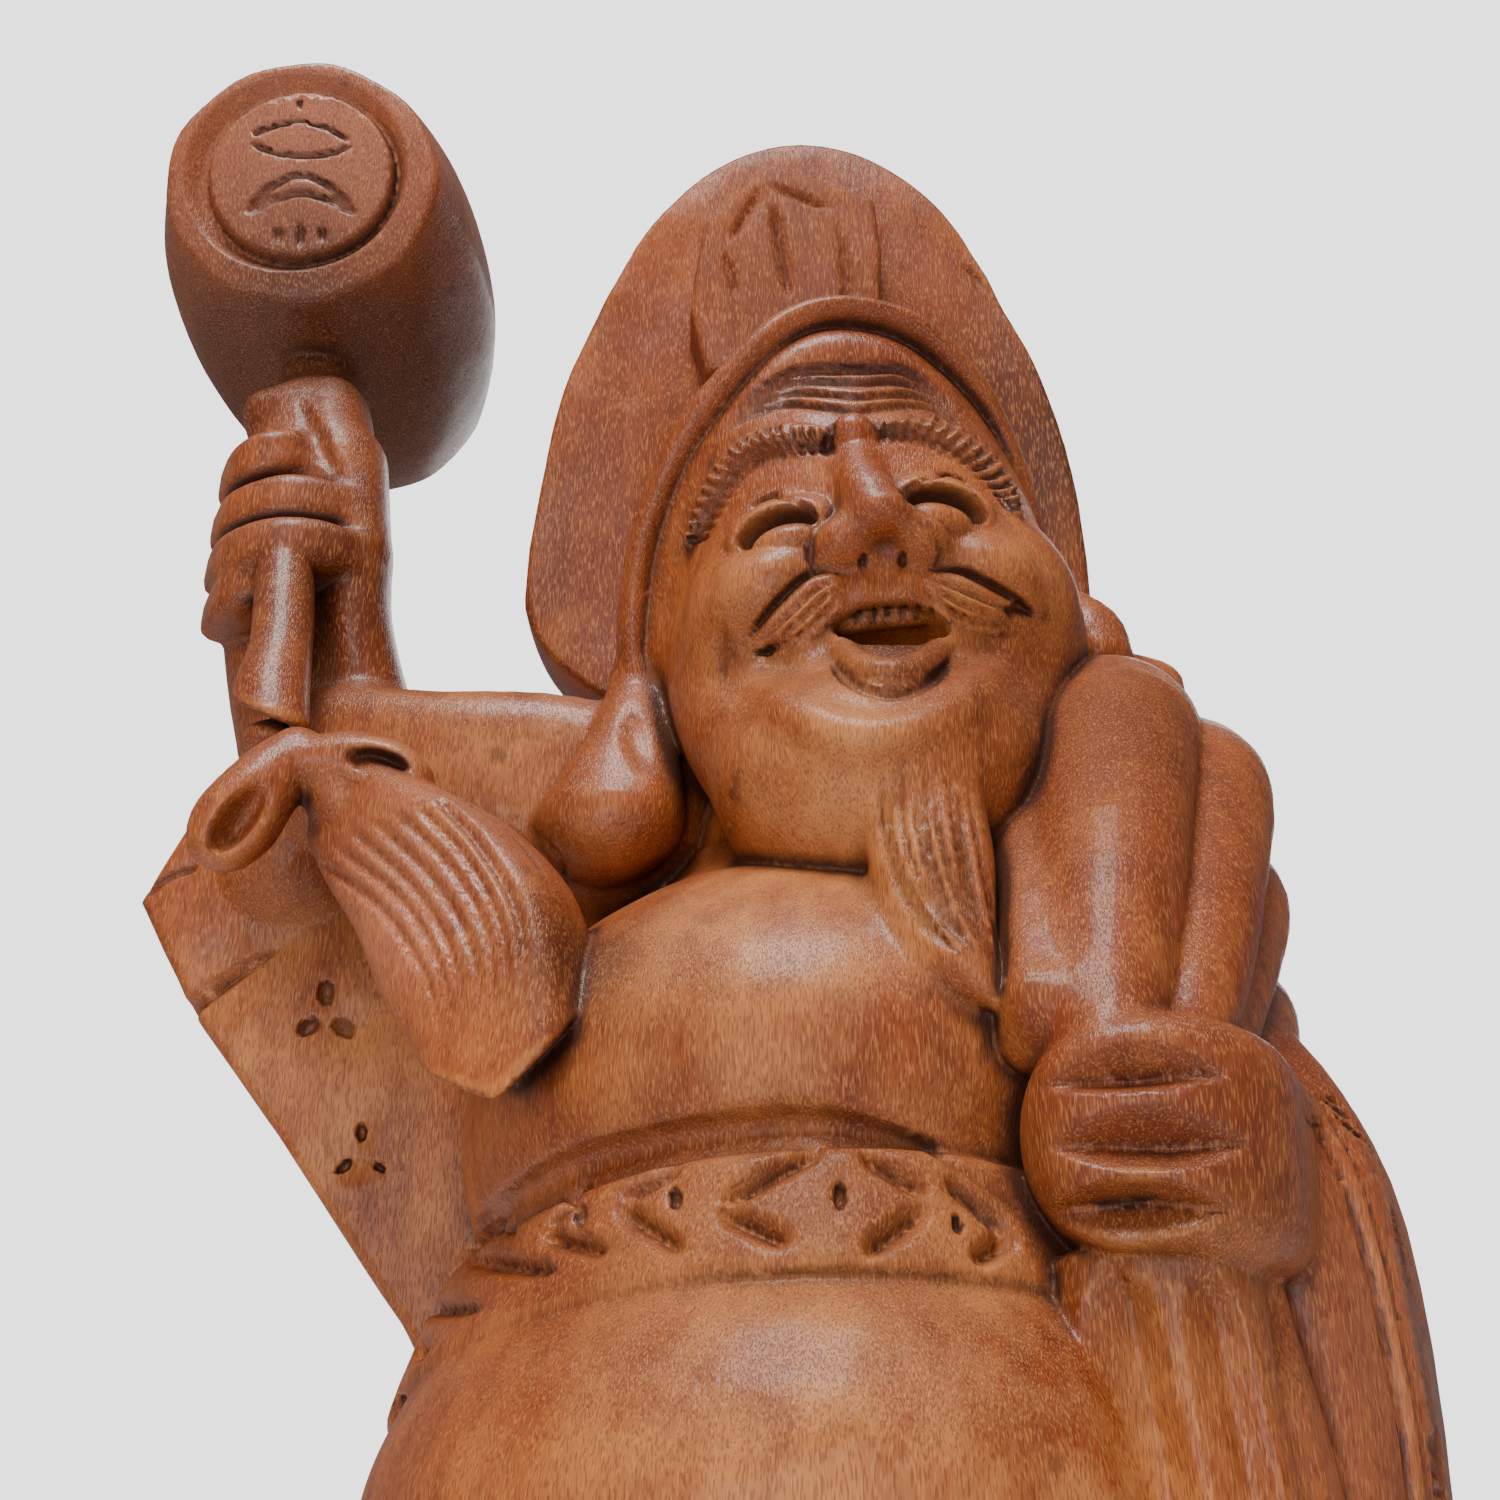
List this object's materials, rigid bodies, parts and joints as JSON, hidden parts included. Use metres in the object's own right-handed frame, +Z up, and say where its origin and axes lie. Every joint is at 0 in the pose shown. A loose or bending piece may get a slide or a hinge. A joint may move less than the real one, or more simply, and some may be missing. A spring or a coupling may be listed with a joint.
{
  "type": "carved daikoku figure",
  "caption": "Carved wooden figure of a laughing god of plenty with a tall cap, a raised mallet and a sack over the shoulder, standing on rice bales and a low base.",
  "frame": {"origin": "centre of the flat underside of the base, midway between the two bales", "axes": "+Z up, the figure faces -Y, and its raised mallet is on the -X side"},
  "size_m": [0.2918, 0.2079, 0.566],
  "materials": {
    "carved_wood": "satin varnish over stained, chip-carved hardwood"
  },
  "bodies": {
    "root": {"daikoku_figure": "carved_wood"}
  },
  "joints": []
}
